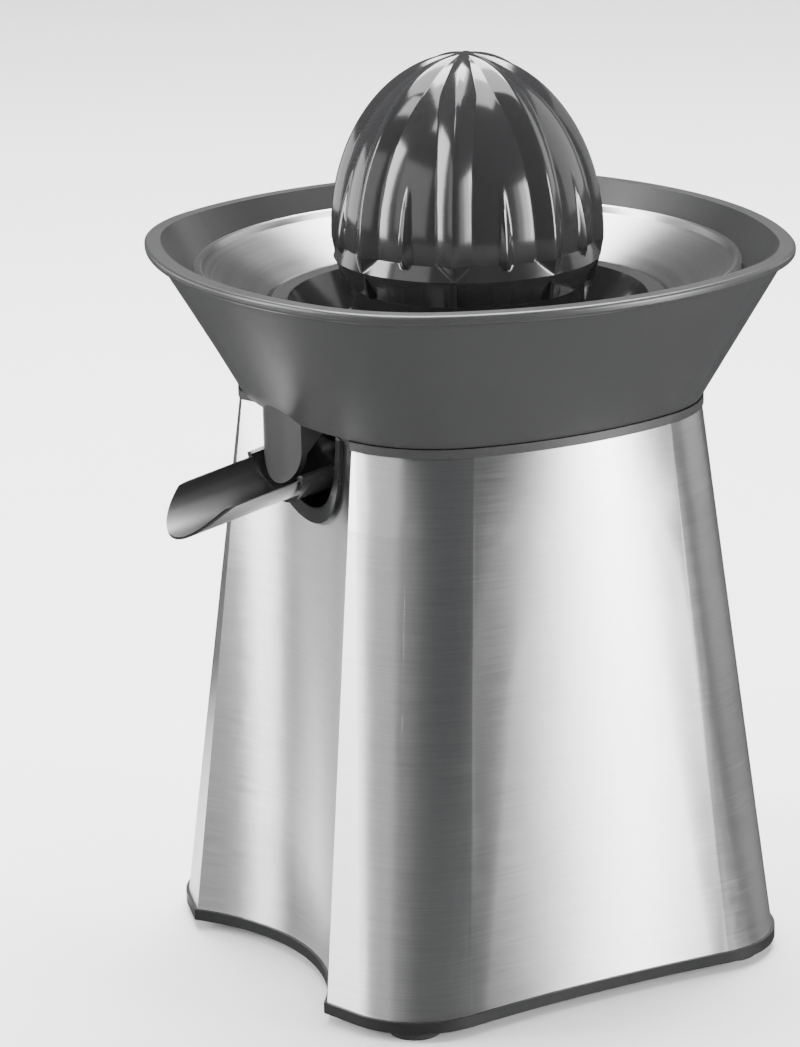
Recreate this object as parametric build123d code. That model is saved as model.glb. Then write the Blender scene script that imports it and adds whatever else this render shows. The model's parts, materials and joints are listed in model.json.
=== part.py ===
from build123d import *
import math
import os

os.makedirs("parts", exist_ok=True)

# Electric citrus press, millimetres. +Z up, the table at z = 0, and the spout
# towards -Y. It is drawn with the reamer's axis at x = y = 0, and at the end it is
# moved back by AXIS_Y, so that the origin lies under the middle of the whole.
AXIS_Y = 3.9

# Levels of the stack, from the table up
FOOT_HEIGHT = 3.0
TRAY_EDGE = 3.5
SHELL_HEIGHT = 167.0
COLLAR_HEIGHT = 2.7
SEAT_GAP = 0.3
BOWL_HEIGHT = 46.2

Z_TRAY = FOOT_HEIGHT
Z_SHELL = Z_TRAY + TRAY_EDGE
Z_TOP = Z_SHELL + SHELL_HEIGHT
Z_COLLAR = Z_TOP + COLLAR_HEIGHT
Z_BOWL = Z_COLLAR + SEAT_GAP
Z_RIM = Z_BOWL + BOWL_HEIGHT

# Plan outlines: half width across the flats, then the half diagonal and the corner
# radius in proportion to it
TOP_FLAT = 65.0
TOP_CORNER, TOP_ROUND = 1.1015 * TOP_FLAT, 0.585 * TOP_FLAT
BASE_FLAT = 72.2
BASE_CORNER, BASE_ROUND = 1.31 * BASE_FLAT, 0.36 * BASE_FLAT
BOWL_FLAT = TOP_FLAT + 0.4
BOWL_CORNER, BOWL_ROUND = 1.098 * BOWL_FLAT, 0.581 * BOWL_FLAT
RIM_FLAT = 94.5
RIM_CORNER, RIM_ROUND = 1.054 * RIM_FLAT, 0.635 * RIM_FLAT

# Concave front bay: half width between its sharp edges, the slope of the flank
# beside each edge in degrees, and how far its middle lies in front of the axis
TOP_EDGE, TOP_FLANK, TOP_BAY = 34.7, 19.0, 53.5
BASE_EDGE, BASE_FLANK, BASE_BAY = 43.2, 17.0, 62.0

# Sheet metal, mouldings and clearances
SHEET = 0.8
WALL = 2.2
RUN = 0.05
FIT = 0.2
TRAY_PROUD = 1.0
TRAY_RIM = 6.0
COLLAR_PROUD = 0.6

# How far a cutting body reaches past what it cuts
REACH = 20.0

# Vents in the base tray
VENTS = 5
VENT_LENGTH, VENT_WIDTH, VENT_STEP = 36.0, 6.5, 12.0

# Bowl
LIP_OVERHANG = 2.7
LIP_WIDTH = 4.9
LIP_THICK = 3.0
LIP_ROUND = 1.1
FLOOR = 2.2
BOWL_CHIMNEY_R = 12.3
BOWL_CHIMNEY_WALL = 2.2
REST_RIBS = 8
REST_RIB_WIDTH = 2.2
REST_RIB_HEIGHT = 12.0
REST_RIB_REACH = 20.0

# Chimney of the frame, which stands inside the bowl's, and the shaft's shoulder
CHIMNEY_R = 11.8
CHIMNEY_HEIGHT = 20.8
SEAL_HEIGHT = 2.0
SHAFT_BUSH_LENGTH = 16.0
CHIMNEY_TOP = Z_COLLAR + CHIMNEY_HEIGHT
BOWL_CHIMNEY_TOP = CHIMNEY_TOP + SEAL_HEIGHT + 1.0
SHAFT_SHOULDER = BOWL_CHIMNEY_TOP + 5.0

# Tongue that leads from the bowl down to the spout
TONGUE_R = 30.0
TONGUE_WALL = 1.8
TONGUE_FRONT = BOWL_FLAT + 2.0
TONGUE_AXIS_Y = TONGUE_R - TONGUE_FRONT
TONGUE_HALF = 12.2
TONGUE_RISE, TONGUE_DROP = 8.0, 19.9
TONGUE_ROOT = Z_BOWL + TONGUE_RISE
TONGUE_BOTTOM = Z_BOWL - TONGUE_DROP
OUTLET_BACK_Y = 8.9 - BOWL_FLAT

# Reamer: radii from the crests of its ribs, levels from the shaft's shoulder
RIBS = 8
RIB_PHASE = -35.8
CREST_R = 41.4
CREST_HEIGHT = 54.7
RIB_HEIGHT = 2.7
RIB_HALF = 4.9
TEAR_HEIGHT = 1.9
TEAR_HALF = 1.9
LIP_R = CREST_R - 0.4
NECK_R = CREST_R - 6.0
NECK_WALL = 3.0
FIN_FOOT_R = NECK_R + 3.4
FIN_THICK = 1.2
SOCKET_BOSS_R = 8.5
LIP_Z = SHAFT_SHOULDER + 13.3
BAND_Z = LIP_Z + 4.6
CREST_Z = LIP_Z + 6.7
TEAR_TOP_Z = CREST_Z + 0.4 * CREST_HEIGHT
FIN_FOOT_Z = LIP_Z - 8.5
NECK_TOP_Z = LIP_Z - 8.7
NECK_BOTTOM_Z = SHAFT_SHOULDER - 11.0
CAVITY_RISE = 16.0
REAMER_CAVITY_TOP = SHAFT_SHOULDER + CAVITY_RISE

# Strainer: the steel dish lies a gap away from the bowl's sloping wall, measured at
# the foot of its skirt. The radii of dish and basket are shares of the width between
# the basket's hub and the dish's edge
DISH_DROP = 5.5
DISH_SKIRT = 5.7
DISH_GAP = 0.18
DISH_CURL = 1.1
DISH_DEPTH = 12.4
SEAT_STEP = 2.2
BOWL_INNER = BOWL_FLAT - WALL
RIM_INNER = RIM_FLAT - LIP_WIDTH
WALL_SHARE = 1 - (DISH_DROP + DISH_SKIRT) / (BOWL_HEIGHT - FLOOR)
DISH_R = BOWL_INNER + (RIM_INNER - BOWL_INNER) * WALL_SHARE - DISH_GAP
DISH_TOP = Z_RIM - DISH_DROP
DISH_FALL_Z = DISH_TOP - DISH_DEPTH
BASKET_SEAT_Z = DISH_FALL_Z - SEAT_STEP
BASKET_WALL = 1.6
BASKET_DEPTH = 13.0
BASKET_HUB_R = NECK_R + 1.2
BASKET_HUB_HEIGHT = 6.6
STRAINER_WIDTH = DISH_R - BASKET_HUB_R
DISH_FALL_R = BASKET_HUB_R + 0.538 * STRAINER_WIDTH
BASKET_SEAT_R = BASKET_HUB_R + 0.434 * STRAINER_WIDTH
BASKET_FLOOR_R = BASKET_HUB_R + 0.312 * STRAINER_WIDTH
SLOTS = 24
SLOT_WIDTH = 1.8
SLOT_INNER_R = BASKET_HUB_R + 0.087 * STRAINER_WIDTH
SLOT_OUTER_R = BASKET_HUB_R + 0.247 * STRAINER_WIDTH

# The drive hangs from the housing's top: first the gearbox, then gears and shaft
COVER_DROP = 24.5
CASE_HEIGHT = 29.0
COVER_Z = Z_TOP - COVER_DROP
COVER_THICK = 4.0
CASE_Z = COVER_Z - CASE_HEIGHT
CASE_FLOOR = 3.5
SHAFT_R = 5.0
HEX_FLATS = 8.6
TOP_HEX_FLATS = 8.0
TOP_HEX_LENGTH = 30.0
SHAFT_TOP = SHAFT_SHOULDER + TOP_HEX_LENGTH
FLANGE_R = 19.0
FLANGE_THICK = 2.0
SPRING_WIRE_R = 0.7
SPRING_COIL_R = 7.2
SPRING_TURNS = 3.5
MODULE = 1.0
PRESSURE = math.radians(25.0)
BACKLASH = 0.30
ADDENDUM = 0.85
DEDENDUM = 1.15
MOTOR_TEETH, FIRST_TEETH, SECOND_TEETH, OUTPUT_TEETH = 12, 48, 15, 45
GEAR_CENTRES = MODULE * (MOTOR_TEETH + FIRST_TEETH) / 2
FLOOR_GAP, GEAR_STEP = 3.5, 3.0
FIRST_Z, FIRST_WIDTH = CASE_Z + CASE_FLOOR + FLOOR_GAP, 7.0
SECOND_WIDTH = 12.0
OUTPUT_Z, OUTPUT_WIDTH = FIRST_Z + FIRST_WIDTH + GEAR_STEP, 8.0
PINION_OVER = 1.0
PINION_Z, PINION_WIDTH = FIRST_Z - PINION_OVER, FIRST_WIDTH + 2 * PINION_OVER
HUB_R = 9.0
HUB_PROUD = 1.0
HUB_TOP = COVER_Z + COVER_THICK + HUB_PROUD
SPRING_SPACE = 9.0
FLANGE_Z = HUB_TOP + SPRING_SPACE
HEX_LOW, HEX_PROUD = 2.0, 4.0
SHAFT_BOTTOM = OUTPUT_Z + HEX_LOW
SHAFT_HEX_TOP = HUB_TOP + HEX_PROUD
AXLE_R = 3.0
MOTOR_SHAFT_R = 4.0

# Gearbox
CASE_R = 29.0
CASE_WALL = 2.0
COVER_HALF = 33.0
COVER_FRONT_Y, COVER_REAR_Y = -28.0, 57.0
COVER_ROUND = 6.0
CASE_FLANGE = 3.0
COVER_SCREW_X = 28.0
COVER_SCREW_YS = (-22.0, 51.0)
BUSH_WALL = 3.0

# Motor
STACK_HALF = 37.0
STACK_ROUND = 10.0
STACK_HEIGHT = 40.0
STACK_BORE = 23.0
AIR_GAP = 0.6
BRACKET_HALF = 36.0
BRACKET_THICK = 4.0
COIL_END, COIL_CLEAR = 6.0, 6.0
UPPER_BRACKET_Z = CASE_Z - BRACKET_THICK
STACK_Z = UPPER_BRACKET_Z - COIL_CLEAR - COIL_END - STACK_HEIGHT
LOWER_BRACKET_Z = STACK_Z - COIL_END - COIL_CLEAR - BRACKET_THICK
BOLT_AT = 30.0
BOLT_R = 2.0
LEG_R = 5.0
COIL_Y, COIL_THICK = 24.5, 7.0
COIL_HALF, COIL_SIDE = 24.0, 6.0
FAN_GAP, FAN_HEIGHT, FAN_R = 4.0, 7.0, 26.0
FAN_Z = LOWER_BRACKET_Z - FAN_GAP - FAN_HEIGHT
FAN_BLADES = 10

# Frame posts, feet and fasteners
DECK_THICK = 3.0
POST_AT = 43.0
POST_R = 6.0
FOOT_R = 8.2
FOOT_STUD_R = 3.5
FOOT_X = 62.5
FOOT_FRONT_Y, FOOT_REAR_Y = -58.0, 55.0
SCREW_R, SCREW_HEAD_R, SCREW_HEAD = 1.8, 3.4, 2.0
SCREW_LENGTH = 18.0

# Spout
SPOUT_DROP = 12.6
SPOUT_Y, SPOUT_Z = -50.8, Z_TOP - SPOUT_DROP
SPOUT_SLOPE = 11.0
SPOUT_HALF = 16.0
SPOUT_EDGE_V = 3.0
SPOUT_DEPTH = 9.0
SPOUT_STRAIGHT = 33.5
SPOUT_NOSE = 20.0
SPOUT_START = 10.0
CARRIER_START, CARRIER_END = -6.0, 16.5
CARRIER_WALL = 1.4
CARRIER_LINING = 0.8
CARRIER_PROUD = 1.2
TRUNNION_R = 2.0
TRUNNION_LENGTH = 4.0

# Pocket round the spout's root
POCKET_HALF = 20.0
POCKET_WALL = 1.8
POCKET_HEIGHT = 28.2
POCKET_BOTTOM = Z_TOP - POCKET_HEIGHT
POCKET_BACK_Y = -40.0
BEZEL_WIDTH = 2.8
BEZEL_PROUD = 1.2

# Switch and gland
SWITCH_Y = -17.0
SWITCH_SIZE = (16.0, 8.0, 7.0)
PLUNGER_R = 1.6
PLUNGER_LENGTH = 6.0
PLUNGER_DEPTH = 6.6
GLAND_Z = 20.0
GLAND_R = 5.0
GLAND_BORE = 3.6
GLAND_FLANGE_R = 7.5
GLAND_FLANGE = 2.2
GLAND_DEPTH = 7.0


def rounded_square(flat, corner, rnd):
    """Corner centre and tangent point of a square whose sides bow out or in."""
    centre = (corner - rnd) / math.sqrt(2)
    reach = flat - rnd
    bow = (2 * centre ** 2 - reach ** 2) / (2 * (reach - centre))
    dx, dy = centre + bow, centre
    length = math.hypot(dx, dy)
    side = 1 if flat + bow > 0 else -1
    return centre, (centre + side * rnd * dx / length, centre + side * rnd * dy / length)


def turned(point, quarter):
    """A plan point turned by quarter turns about the axis."""
    x, y = point
    for _ in range(quarter):
        x, y = -y, x
    return (x, y)


def outline(flat, corner, rnd, z, inset=0.0):
    """Closed rounded-square wire at height z, drawn in by inset."""
    flat, corner, rnd = flat - inset, corner - inset, rnd - inset
    _, (tx, ty) = rounded_square(flat, corner, rnd)
    mid = corner / math.sqrt(2)
    edges = []
    for quarter in range(4):
        stops = [(tx, -ty), (flat, 0), (tx, ty), (mid, mid), (ty, tx)]
        a, b, c, d, e = [turned(p, quarter) + (z,) for p in stops]
        edges.append(Edge.make_three_point_arc(a, b, c))
        edges.append(Edge.make_three_point_arc(c, d, e))
    return Wire(edges)


def body_outline(z, inset=0.0):
    """Wire of the housing at height z, with its concave front bay."""
    share = (z - Z_SHELL) / SHELL_HEIGHT

    def mixed(base, top):
        return base + (top - base) * share

    flat = mixed(BASE_FLAT, TOP_FLAT)
    corner = mixed(BASE_CORNER, TOP_CORNER)
    rnd = mixed(BASE_ROUND, TOP_ROUND)
    edge = mixed(BASE_EDGE, TOP_EDGE)
    flank = math.radians(mixed(BASE_FLANK, TOP_FLANK))
    bay = -mixed(BASE_BAY, TOP_BAY)
    centre, (tx, ty) = rounded_square(flat, corner, rnd)

    # The bay is an arc about a centre in front; drawing in makes it larger
    edge_y = -centre - rnd * math.cos(flank) - (centre + rnd * math.sin(flank) - edge) * math.tan(flank)
    arc_y = (edge ** 2 + edge_y ** 2 - bay ** 2) / (2 * (edge_y - bay))
    arc_r = bay - arc_y + inset

    tx, ty = tx - inset * (tx - centre) / rnd, ty - inset * (ty - centre) / rnd
    small = rnd - inset
    end = (centre + small * math.sin(flank), -centre - small * math.cos(flank))
    slope = math.tan(flank)
    # Where the flank's straight run meets the bay's arc
    lift = end[1] - end[0] * slope - arc_y
    a, b, c = 1 + slope ** 2, 2 * slope * lift, lift ** 2 - arc_r ** 2
    sharp_x = (-b + math.sqrt(b * b - 4 * a * c)) / (2 * a)
    sharp = (sharp_x, end[1] + (sharp_x - end[0]) * slope)

    turn_start = math.atan2(-ty + centre, tx - centre)
    turn = (turn_start + flank - math.pi / 2) / 2
    front_mid = (centre + small * math.cos(turn), -centre + small * math.sin(turn))
    rear_mid = ((corner - inset) / math.sqrt(2),) * 2
    side_x = flat - inset

    right = [
        [sharp, end],
        [end, front_mid, (tx, -ty)],
        [(tx, -ty), (side_x, 0), (tx, ty)],
        [(tx, ty), rear_mid, (ty, tx)],
    ]
    left = [[(-x, y) for x, y in reversed(run)] for run in reversed(right)]
    back = [[(ty, tx), (0, side_x), (-ty, tx)]]
    front = [[(-sharp[0], sharp[1]), (0, arc_y + arc_r), sharp]]
    edges = []
    for run in right + back + left + front:
        points = [p + (z,) for p in run]
        if len(points) == 2:
            edges.append(Edge.make_line(*points))
        else:
            edges.append(Edge.make_three_point_arc(*points))
    return Wire(edges)


def body_solid(inset, z_low, z_high):
    """Tapering solid of the housing between two heights."""
    return Solid.make_loft([body_outline(z_low, inset), body_outline(z_high, inset)], True)


def prism(wire, height):
    """Upright solid on a flat wire."""
    return extrude(Face(wire), amount=height, dir=(0, 0, 1))


def tube(outer, inner, z, height, at=(0, 0)):
    """Upright ring or, with no inner radius, a disc."""
    shape = Pos(at[0], at[1], z + height / 2) * Cylinder(outer, height)
    if inner:
        shape -= Pos(at[0], at[1], z + height / 2) * Cylinder(inner, height)
    return shape


def plate(half_x, y_low, y_high, rnd, z, thick):
    """Upright plate with rounded corners."""
    sketch = Pos(0, (y_low + y_high) / 2) * RectangleRounded(2 * half_x, y_high - y_low, rnd)
    return Pos(0, 0, z) * extrude(sketch, amount=thick)


def revolved(points):
    """Solid turned from (radius, height) points."""
    face = make_face(Polyline(*[(r, 0, z) for r, z in points], close=True))
    return revolve(face, Axis.Z)


def sheet_profile(points, thick):
    """Outline of a bent sheet: the points, then the same run offset to its left."""
    inner = []
    for i, (x, z) in enumerate(points):
        before = points[max(i - 1, 0)]
        after = points[min(i + 1, len(points) - 1)]
        normals = []
        for p, q in ((before, (x, z)), ((x, z), after)):
            length = math.hypot(q[0] - p[0], q[1] - p[1])
            if length:
                normals.append((-(q[1] - p[1]) / length, (q[0] - p[0]) / length))
        nx = sum(n[0] for n in normals) / len(normals)
        nz = sum(n[1] for n in normals) / len(normals)
        scale = thick / (nx * nx + nz * nz)
        inner.append((x + nx * scale, z + nz * scale))
    return points + inner[::-1]


def hexagon(flats, z, height):
    """Upright hexagonal bar."""
    return Pos(0, 0, z) * extrude(RegularPolygon(flats / 2, 6, major_radius=False), amount=height)


def arch(half, z_low, z_high, y_low, y_high):
    """Bar along Y with a round-bottomed, straight-sided section."""
    section = Pos(0, (z_low + half + z_high) / 2) * Rectangle(2 * half, z_high - z_low - half)
    section += Pos(0, z_low + half) * Circle(half)
    bar = extrude(Plane.XZ * section, amount=-(y_high - y_low))
    return Pos(0, y_low, 0) * bar


def gear(teeth, z, width, bore, phase):
    """Spur gear with involute flanks, a tooth centred on the angle phase."""
    pitch_r = MODULE * teeth / 2
    base_r = pitch_r * math.cos(PRESSURE)
    tip_r = pitch_r + ADDENDUM * MODULE
    root_r = pitch_r - DEDENDUM * MODULE
    half_pitch = (math.pi * MODULE - BACKLASH) / 4 / pitch_r

    def half_angle(r):
        steep = math.acos(min(1.0, base_r / r))
        return half_pitch + math.tan(PRESSURE) - PRESSURE - math.tan(steep) + steep

    radii = [root_r, max(base_r, root_r + 0.2), (base_r + tip_r) / 2 + 0.2, tip_r]
    points = []
    for tooth in range(teeth):
        middle = phase + 2 * math.pi * tooth / teeth
        flank = [(r, half_angle(max(r, base_r))) for r in radii]
        for r, half in flank:
            points.append((r * math.cos(middle - half), r * math.sin(middle - half)))
        for r, half in reversed(flank):
            points.append((r * math.cos(middle + half), r * math.sin(middle + half)))
    blank = Pos(0, 0, z) * extrude(make_face(Polyline(*points, close=True)), amount=width)
    return blank - tube(bore, 0, z, width)


parts = {}


def corners(x, ys):
    """Plan points mirrored left and right."""
    return [(side * x, y) for side in (-1, 1) for y in ys]


# Housing: steel sleeve, base tray, top collar and inner frame
def make_shell():
    shell = body_solid(0, Z_SHELL, Z_TOP) - body_solid(SHEET, Z_SHELL, Z_TOP)
    shell -= arch(POCKET_HALF + RUN, POCKET_BOTTOM - RUN, Z_TOP + 1, -BASE_BAY - REACH, POCKET_BACK_Y)
    hole = Pos(0, BASE_FLAT, GLAND_Z) * Rot(90, 0, 0) * Cylinder(GLAND_R + FIT, REACH)
    return shell - hole


def make_base_tray():
    tray = prism(body_outline(Z_SHELL, -TRAY_PROUD), TRAY_EDGE)
    tray = Pos(0, 0, Z_TRAY - Z_SHELL) * tray
    locating = SHEET + FIT
    rim = prism(body_outline(Z_SHELL + TRAY_RIM, locating), TRAY_RIM)
    rim -= prism(body_outline(Z_SHELL + TRAY_RIM, locating + WALL), TRAY_RIM)
    tray += Pos(0, 0, -TRAY_RIM) * rim
    for at in corners(POST_AT, (-POST_AT, POST_AT)):
        tray -= tube(SCREW_R + FIT, 0, Z_TRAY, TRAY_EDGE, at)
        tray -= tube(SCREW_HEAD_R + FIT, 0, Z_TRAY, SCREW_HEAD, at)
    for at in corners(FOOT_X, (FOOT_FRONT_Y, FOOT_REAR_Y)):
        tray -= tube(FOOT_STUD_R, 0, Z_TRAY, TRAY_EDGE, at)
    for i in range(VENTS):
        slot = Pos(0, (i - (VENTS - 1) / 2) * VENT_STEP) * SlotOverall(VENT_LENGTH, VENT_WIDTH)
        tray -= Pos(0, 0, Z_TRAY) * extrude(slot, amount=TRAY_EDGE)
    return tray


def make_feet():
    feet = []
    for at in corners(FOOT_X, (FOOT_FRONT_Y, FOOT_REAR_Y)):
        pad = fillet(tube(FOOT_R, 0, 0, FOOT_HEIGHT, at).edges().group_by(Axis.Z)[0], 0.8)
        feet.append(pad + tube(FOOT_STUD_R, 0, FOOT_HEIGHT, TRAY_EDGE, at))
    return Compound(feet)


def make_collar():
    collar = Pos(0, 0, 0) * prism(body_outline(Z_TOP, -COLLAR_PROUD), COLLAR_HEIGHT)
    return collar - tube(CHIMNEY_R + FIT, 0, Z_TOP, COLLAR_HEIGHT)


def make_inner_frame():
    deck_z = Z_TOP - DECK_THICK
    deck = prism(body_outline(Z_TOP, SHEET + FIT), DECK_THICK)
    frame = Pos(0, 0, -DECK_THICK) * deck
    frame += tube(CHIMNEY_R, 0, deck_z, CHIMNEY_TOP - deck_z)
    for at in corners(POST_AT, (-POST_AT, POST_AT)):
        frame += tube(POST_R, 0, Z_SHELL, Z_TOP - Z_SHELL, at)
        frame -= tube(SCREW_R, 0, Z_SHELL, SCREW_LENGTH, at)
    boss_z = COVER_Z + COVER_THICK
    for at in corners(COVER_SCREW_X, COVER_SCREW_YS):
        frame += tube(LEG_R, 0, boss_z, deck_z - boss_z, at)
        frame -= tube(SCREW_R, 0, boss_z, SCREW_LENGTH - COVER_THICK, at)
    frame -= tube(SHAFT_R + BUSH_WALL, 0, deck_z, CHIMNEY_TOP - deck_z)
    frame -= arch(POCKET_HALF + FIT, POCKET_BOTTOM, Z_TOP + 1, -BASE_BAY, POCKET_BACK_Y + FIT)
    return frame


def make_shaft_seal():
    return tube(CHIMNEY_R, SHAFT_R + RUN, CHIMNEY_TOP, SEAL_HEIGHT)


def make_shaft_bush():
    return tube(SHAFT_R + BUSH_WALL, SHAFT_R + RUN, CHIMNEY_TOP - SHAFT_BUSH_LENGTH, SHAFT_BUSH_LENGTH)


def make_pocket():
    front_y = -BASE_BAY - REACH
    grown = body_solid(-BEZEL_PROUD, Z_SHELL, Z_TOP)
    outer = arch(POCKET_HALF, POCKET_BOTTOM, Z_TOP, front_y, POCKET_BACK_Y)
    ring = arch(POCKET_HALF + BEZEL_WIDTH, POCKET_BOTTOM - BEZEL_WIDTH, Z_TOP, front_y, POCKET_BACK_Y)
    bezel = ring & (grown - body_solid(0, Z_SHELL, Z_TOP))
    pocket = (outer & grown) + bezel
    pocket -= arch(POCKET_HALF - POCKET_WALL, POCKET_BOTTOM + POCKET_WALL, Z_TOP + 1,
                   front_y, POCKET_BACK_Y - POCKET_WALL)
    bore = Pos(0, SPOUT_Y, SPOUT_Z) * Rot(0, 90, 0) * Cylinder(TRUNNION_R + RUN, 4 * POCKET_HALF)
    return pocket - bore


def make_gland():
    centre = Pos(0, 0, GLAND_Z) * Rot(-90, 0, 0)
    flange_y = BASE_FLAT + SEAT_GAP
    body = centre * tube(GLAND_R, GLAND_BORE, flange_y - GLAND_DEPTH, GLAND_DEPTH)
    return body + centre * tube(GLAND_FLANGE_R, GLAND_BORE, flange_y, GLAND_FLANGE)


# Bowl with its lip, chimney, tongue and rests for the dish
def make_bowl():
    lip_z = Z_RIM - LIP_THICK
    outside = Solid.make_loft([
        outline(BOWL_FLAT, BOWL_CORNER, BOWL_ROUND, Z_BOWL),
        outline(RIM_FLAT, RIM_CORNER, RIM_ROUND, lip_z, LIP_OVERHANG)], True)
    lip = prism(outline(RIM_FLAT, RIM_CORNER, RIM_ROUND, lip_z), LIP_THICK)
    lip = fillet(lip.edges().group_by(Axis.Z)[-1], LIP_ROUND)
    lip = fillet(lip.edges().group_by(Axis.Z)[0], LIP_ROUND)
    floor_z = Z_BOWL + FLOOR
    hollow = Solid.make_loft([
        outline(BOWL_FLAT, BOWL_CORNER, BOWL_ROUND, floor_z, WALL),
        outline(RIM_FLAT, RIM_CORNER, RIM_ROUND, Z_RIM, LIP_WIDTH)], True)

    # The tongue is a slightly bent plate with a round end, hung from the foot of the wall
    bent = tube(TONGUE_R, TONGUE_R - TONGUE_WALL, TONGUE_BOTTOM,
                TONGUE_ROOT - TONGUE_BOTTOM, (0, TONGUE_AXIS_Y))
    front_y = -BASE_BAY - REACH
    tongue = bent & arch(TONGUE_HALF, TONGUE_BOTTOM, TONGUE_ROOT, front_y, OUTLET_BACK_Y)

    # Its side walls taper away from the front plate up to the bowl's floor
    sides = arch(TONGUE_HALF, TONGUE_BOTTOM, TONGUE_ROOT, front_y, OUTLET_BACK_Y)
    sides -= arch(TONGUE_HALF - TONGUE_WALL, TONGUE_BOTTOM, TONGUE_ROOT + 1, front_y, OUTLET_BACK_Y + 1)
    sides &= tube(TONGUE_R, 0, TONGUE_BOTTOM, TONGUE_ROOT - TONGUE_BOTTOM, (0, TONGUE_AXIS_Y))
    taper = make_face(Polyline(
        (0, -TONGUE_FRONT, TONGUE_ROOT), (0, -TONGUE_FRONT, TONGUE_BOTTOM + TONGUE_HALF / 2),
        (0, OUTLET_BACK_Y, Z_BOWL - FLOOR), (0, OUTLET_BACK_Y, TONGUE_ROOT), close=True))
    tongue += sides & extrude(taper, amount=TONGUE_HALF, both=True)
    bowl = outside + lip + tongue - hollow
    outlet = tube(TONGUE_R - TONGUE_WALL, 0, Z_BOWL - 1, FLOOR + 2, (0, TONGUE_AXIS_Y))
    outlet_half = TONGUE_HALF - TONGUE_WALL
    outlet &= Pos(0, OUTLET_BACK_Y - TONGUE_R, Z_BOWL) * Box(2 * outlet_half, 2 * TONGUE_R, REACH)
    bowl -= outlet

    rib_z = DISH_TOP - DISH_SKIRT - SEAT_GAP - REST_RIB_HEIGHT / 2
    rib_x = DISH_R - SHEET - 2 + REST_RIB_REACH / 2
    for i in range(REST_RIBS):
        turn = Rot(0, 0, 360 / REST_RIBS * (i + 0.5))
        rib = turn * Pos(rib_x, 0, rib_z) * Box(REST_RIB_REACH, REST_RIB_WIDTH, REST_RIB_HEIGHT)
        bowl += rib & outside
    bowl += tube(BOWL_CHIMNEY_R + BOWL_CHIMNEY_WALL, 0, Z_BOWL, BOWL_CHIMNEY_TOP - Z_BOWL)
    return bowl - tube(BOWL_CHIMNEY_R, 0, Z_BOWL, BOWL_CHIMNEY_TOP - Z_BOWL)


# Strainer
def make_dish():
    curl = DISH_CURL
    run = [
        (DISH_R, DISH_TOP - DISH_SKIRT),
        (DISH_R, DISH_TOP - curl),
        (DISH_R - 0.3 * curl, DISH_TOP - 0.3 * curl),
        (DISH_R - curl, DISH_TOP),
        (DISH_R - 1.7 * curl, DISH_TOP - 0.3 * curl),
        (DISH_R - 2 * curl, DISH_TOP - curl),
        (DISH_R - 2.3 * curl, DISH_TOP - 2 * curl),
        (DISH_FALL_R, DISH_FALL_Z),
        (DISH_FALL_R - SHEET, BASKET_SEAT_Z + SHEET),
        (BASKET_SEAT_R, BASKET_SEAT_Z + SHEET),
    ]
    return revolved(sheet_profile(run, SHEET))


def make_basket():
    seat = BASKET_SEAT_Z + SHEET
    flange_top = seat + BASKET_WALL
    floor_z = flange_top - BASKET_DEPTH
    flange_r = DISH_FALL_R - 2 * SHEET
    wall_r = BASKET_SEAT_R - SEAT_GAP
    basket = revolved([
        (flange_r, seat), (flange_r, flange_top), (wall_r - BASKET_WALL, flange_top),
        (BASKET_FLOOR_R - BASKET_WALL, floor_z), (BASKET_HUB_R + BASKET_WALL, floor_z),
        (BASKET_HUB_R + BASKET_WALL, floor_z + BASKET_HUB_HEIGHT), (BASKET_HUB_R, floor_z + BASKET_HUB_HEIGHT),
        (BASKET_HUB_R, floor_z - BASKET_WALL), (BASKET_FLOOR_R, floor_z - BASKET_WALL), (wall_r, seat),
    ])
    slot_length = SLOT_OUTER_R - SLOT_INNER_R
    slot_r = (SLOT_OUTER_R + SLOT_INNER_R) / 2
    for i in range(SLOTS):
        slot = Box(slot_length, SLOT_WIDTH, 4 * BASKET_WALL)
        basket -= Rot(0, 0, 360 / SLOTS * i) * Pos(slot_r, 0, floor_z) * slot
    return basket


# Reamer: a dome with V ribs and shorter teardrop ribs, a flared lip and fins
def star(z, core_r, crest_r, rib_half, tear_r, tear_half):
    """Plan section of the dome: eight V ribs with a small rib between each pair."""
    step = math.pi / RIBS
    rib = min(math.asin(min(rib_half / core_r, 0.9)), 0.62 * step)
    tear = min(math.asin(min(tear_half / core_r, 0.9)), 0.24 * step)
    points = []
    for i in range(RIBS):
        middle = math.radians(RIB_PHASE) + 2 * step * i
        for angle, r in ((-rib, core_r), (0, crest_r), (rib, core_r),
                         (step - tear, core_r), (step, tear_r), (step + tear, core_r)):
            points.append((r * math.cos(middle + angle), r * math.sin(middle + angle), z))
    return Wire(Polyline(*points, close=True).edges())


def dome_section(z):
    """Section of the dome at height z, from the ellipse that the crests follow."""
    up = (z - CREST_Z) / CREST_HEIGHT
    crest = CREST_R * math.sqrt(1 - min(up, 0.995) ** 2)
    core = crest - min(RIB_HEIGHT, 0.3 * crest)
    fade = max(0.0, min(1.0, (TEAR_TOP_Z - z) / (TEAR_TOP_Z - CREST_Z)))
    tear_half = 0.3 + (TEAR_HALF - 0.3) * math.sqrt(fade)
    return star(z, core, crest, RIB_HALF, core + 0.05 + TEAR_HEIGHT * fade, tear_half)


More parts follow.
